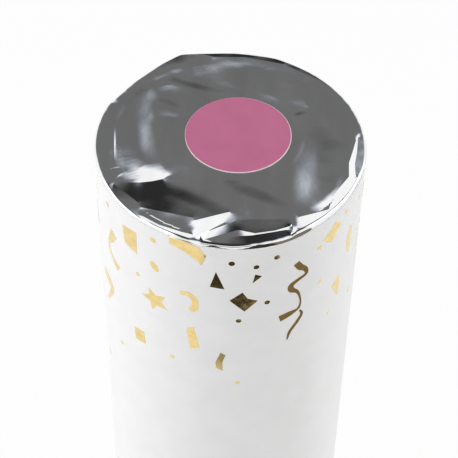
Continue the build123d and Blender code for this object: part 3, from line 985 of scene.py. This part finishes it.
def paper_angles(outer):
    """Angles round a wrap from the back, with close pairs at the two sides of the lap."""
    angles = [math.tau * (index / paper_segments - 0.5) for index in range(paper_segments)]
    hair = seam_step / outer
    for side in (seam_angle, seam_angle + seam_width / outer):
        angles += [side - hair, side + hair]
    return sorted(angles)


def build_wrap(name, node, body, edge):
    """A paper tube in a CAD node's place, with its top edge at the height that edge gives."""
    low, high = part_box(node)
    angles = paper_angles(high.x)
    ring_count = round((high.z - low.z) / paper_ring_pitch)
    up = [ring / ring_count for ring in range(ring_count + 1)]
    bm = bmesh.new()
    rings = []
    for inset, ring_shares in ((0, up), (paper_thickness, up[::-1])):
        for ring_share in ring_shares:
            verts = []
            for angle in angles:
                height = low.z + (edge(angle) - low.z) * ring_share
                radius = paper_radius(high.x, angle, height) - inset
                verts.append(bm.verts.new(wrap_point(radius, angle, height)))
            rings.append(verts)
    for lower, upper in zip(rings, rings[1:] + rings[:1]):
        bridge(bm, lower, upper)
    bmesh.ops.recalc_face_normals(bm, faces=bm.faces)
    wrap = link_piece(name, bm, body, "white_paper", paper)
    wrap.data.set_sharp_from_angle(angle=paper_edge_angle)
    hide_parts(node)


build_wrap("barrel_paper", "barrel_wrap", "barrel", barrel_edge)
build_wrap("grip_paper", "grip_wrap", "grip", grip_edge)


# Gold print
def circle(across, down, radius, tall=None, turn=0.0):
    """Points of a dot or, with a second radius and a turn, of an oval."""
    points = []
    for angle in ring_angles(dot_points):
        x = radius * math.cos(angle)
        y = (tall or radius) * math.sin(angle)
        points.append((
            across + x * math.cos(turn) - y * math.sin(turn),
            down + x * math.sin(turn) + y * math.cos(turn),
        ))
    return points


def star(across, down, tip, notch, turn):
    """Points of a star."""
    points = []
    for index, angle in enumerate(ring_angles(2 * star_tips)):
        x, y = ring_point(notch if index % 2 else tip, turn + angle)
        points.append((across + x, down + y))
    return points


def ribbon(line):
    """Outline of a curved ribbon from its middle line and the width at each point."""
    path = spline(line)
    left = []
    right = []
    for index, point in enumerate(path):
        along = (path[min(index + 1, len(path) - 1)] - path[max(index - 1, 0)]).to_2d().normalized()
        side = Vector((-along.y, along.x)) * point.z / 2
        left.append(point.to_2d() + side)
        right.append(point.to_2d() - side)
    return left + right[::-1]


def add_patch(bm, outline, radius, top, turn):
    """Adds one thin patch of gold, bent round the paper."""
    flat = bmesh.new()
    flat.faces.new([flat.verts.new((point[0] * radius, point[1] * radius, 0)) for point in outline])
    bmesh.ops.triangulate(flat, faces=flat.faces)
    across = [vert.co.x for vert in flat.verts]
    for cut in range(math.ceil(min(across) / print_strip), math.ceil(max(across) / print_strip)):
        bmesh.ops.bisect_plane(
            flat, geom=[*flat.verts, *flat.edges, *flat.faces],
            plane_co=(cut * print_strip, 0, 0), plane_no=(1, 0, 0),
        )
    raised = bmesh.ops.extrude_face_region(flat, geom=list(flat.faces))
    for item in raised["geom"]:
        if isinstance(item, bmesh.types.BMVert):
            item.co.z = print_thickness
    bmesh.ops.recalc_face_normals(flat, faces=flat.faces)
    made = {}
    for vert in flat.verts:
        angle = (vert.co.x / radius + turn + math.pi) % math.tau - math.pi
        height = top - vert.co.y
        reach = paper_radius(radius, angle, height) + vert.co.z
        made[vert] = bm.verts.new(wrap_point(reach, angle, height))
    for face in flat.faces:
        bm.faces.new([made[vert] for vert in face.verts])
    flat.free()


motifs = {
    **patch_shares,
    **{name: ribbon(line) for name, line in ribbon_shares.items()},
    "oval": circle(*oval_dot_share),
    "star": star(*star_share),
}


def scattered(places):
    """Motifs moved to other middles."""
    outlines = []
    for name, across, down in places:
        points = [Vector(point) for point in motifs[name]]
        middle = sum(points, Vector((0, 0))) / len(points)
        outlines.append([point - middle + Vector((across, down)) for point in points])
    return outlines


def build_print(name, body, radius, top, outlines):
    """Gold print on a wrap, the same on both half turns."""
    bm = bmesh.new()
    for turn in (0, math.pi):
        for outline in outlines:
            add_patch(bm, outline, radius, top, turn)
    bmesh.ops.recalc_face_normals(bm, faces=bm.faces)
    patches = link_piece(name, bm, body, "gold_foil", gold)
    patches.data.set_sharp_from_angle(angle=print_edge_angle)


barrel_dots = [circle(*dot) for dot in dot_shares + low_dot_shares]
grip_dots = [circle(*dot) for dot in grip_dot_shares]
build_print(
    "barrel_print", "barrel", barrel_paper_radius, rim_top,
    [*motifs.values(), *barrel_dots, *scattered(low_motif_shares)],
)
build_print(
    "grip_print", "grip", grip_paper_radius, grip_paper_top, [*scattered(grip_motif_shares), *grip_dots]
)


# Foam pad
def build_foam():
    """The pusher's pad: flat below, with drawn-in sides, round edges and a faintly crowned, uneven top."""
    height = foam_high.z - foam_low.z
    rings = []
    for radius_share, height_share in foam_profile_shares:
        ring = []
        for angle in ring_angles(foam_segments):
            x, y = ring_point(foam_high.x * radius_share, angle)
            place = Vector((x, y, foam_low.z + height * height_share))
            place.z -= foam_dent * height_share * (1 + noise.noise(place / foam_dent_size))
            ring.append(place)
        rings.append(ring)
    bm = loft(rings)[0]
    pad = link_piece("foam_pad", bm, "charge", "pad_foam", foam_finish())
    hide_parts("pusher_foam")


build_foam()


# Stage, light and camera
def add_plane(name, low, high, height, material, seen):
    """A flat sheet between two corners, which only reflections see if it isn't to be seen."""
    bm = bmesh.new()
    corners = [low, (high[0], low[1]), high, (low[0], high[1])]
    bm.faces.new([bm.verts.new((x, y, height)) for x, y in corners])
    plane = link_mesh(name, bm, material)
    plane.visible_camera = seen
    plane.visible_diffuse = seen
    plane.visible_shadow = seen


def floor_finish():
    """A matt pale floor that keeps the shadow, and glows in part to the camera and in mirrors."""
    finish = Finish("pale_floor", specular=0.0)
    finish.shader.inputs["Base Color"].default_value = (*floor_colour, 1)
    finish.shader.inputs["Roughness"].default_value = 1
    path = finish.node("ShaderNodeLightPath").outputs
    mirrored = finish.reckon("MAXIMUM", path["Is Glossy Ray"], path["Is Transmission Ray"])
    seen = finish.reckon("MAXIMUM", path["Is Camera Ray"], mirrored)
    share = finish.reckon("MULTIPLY", seen, floor_glow_share)
    glow = finish.node("ShaderNodeEmission", Color=(*white, 1)).outputs[0]
    finish.show(finish.mix(share, finish.shader.outputs[0], glow), "Material Output")
    return finish.material


def add_lamp(name, place, width, height, level):
    """A soft area lamp, aimed at the barrel, whose face has that brightness."""
    data = bpy.data.lights.new(name, "AREA")
    data.shape = "RECTANGLE"
    data.size = width
    data.size_y = height
    data.energy = level * math.pi * width * height
    lamp = bpy.data.objects.new(name, data)
    lamp.location = place
    lamp.rotation_euler = (Vector(lamp_aim) - Vector(place)).to_track_quat("-Z", "Y").to_euler()
    lamp.visible_camera = False
    bpy.context.scene.collection.objects.link(lamp)


def add_world():
    """White to the camera, an even fill for soft light, and in mirrors white walls with a grey ceiling."""
    world = bpy.data.worlds.new("studio")
    bpy.context.scene.world = world
    studio = Nodes(world)
    point = studio.node("ShaderNodeTexCoord").outputs["Generated"]
    direction = studio.node("ShaderNodeSeparateXYZ", Vector=point).outputs
    walls = studio.ramp(studio.reckon("ABSOLUTE", direction["X"]), (0, 1), wall_edges, "SMOOTHSTEP")
    walls = studio.reckon("MULTIPLY", walls, walls)
    horizon = studio.ramp(direction["Z"], (0, 1), horizon_edges, "SMOOTHSTEP")
    bright = studio.reckon("MAXIMUM", walls, horizon)
    ceiling = studio.ramp(direction["Y"], ceiling_levels, ceiling_edges)
    grey = studio.node("ShaderNodeCombineColor", Red=ceiling, Green=ceiling, Blue=ceiling).outputs[0]
    daylight = studio.tones(bright, (wall_tint, white), (0, 1))
    tint = studio.node("ShaderNodeMixRGB", Fac=bright, Color1=grey, Color2=daylight).outputs[0]
    room = studio.node("ShaderNodeBackground", Color=tint).outputs[0]
    fill = studio.node("ShaderNodeBackground", Color=(*white, 1), Strength=fill_level).outputs[0]
    backdrop = studio.node("ShaderNodeBackground", Color=(*white, 1)).outputs[0]
    path = studio.node("ShaderNodeLightPath").outputs
    mirrored = studio.reckon("MAXIMUM", path["Is Glossy Ray"], path["Is Transmission Ray"])
    around = studio.mix(mirrored, fill, room)
    studio.show(studio.mix(path["Is Camera Ray"], around, backdrop), "World Output")


def add_camera():
    """A camera in front of the muzzle that looks down at it."""
    data = bpy.data.cameras.new("camera")
    data.lens = camera_lens
    data.sensor_width = camera_sensor
    data.clip_start = clip_near
    data.clip_end = clip_far
    camera = bpy.data.objects.new("camera", data)
    place = Matrix.Translation((0, -camera_setback, rim_top + camera_rise))
    tilt = Matrix.Rotation(math.pi / 2 - camera_elevation, 4, "X")
    roll = Matrix.Rotation(camera_roll, 4, "Z")
    camera.matrix_world = place @ tilt @ roll
    bpy.context.scene.collection.objects.link(camera)
    bpy.context.scene.camera = camera


add_plane("floor", (-floor_half, -floor_half), (floor_half, floor_half), 0, floor_finish(), True)
for name, (low, high, finish_name) in card_corners.items():
    add_plane(name, low, high, card_lift, finishes[finish_name], False)
add_lamp("left_softbox", left_lamp_place, *lamp_size, left_lamp_level)
add_lamp("right_softbox", right_lamp_place, *lamp_size, right_lamp_level)
add_world()
add_camera()
bpy.context.scene.view_settings.view_transform = "Standard"
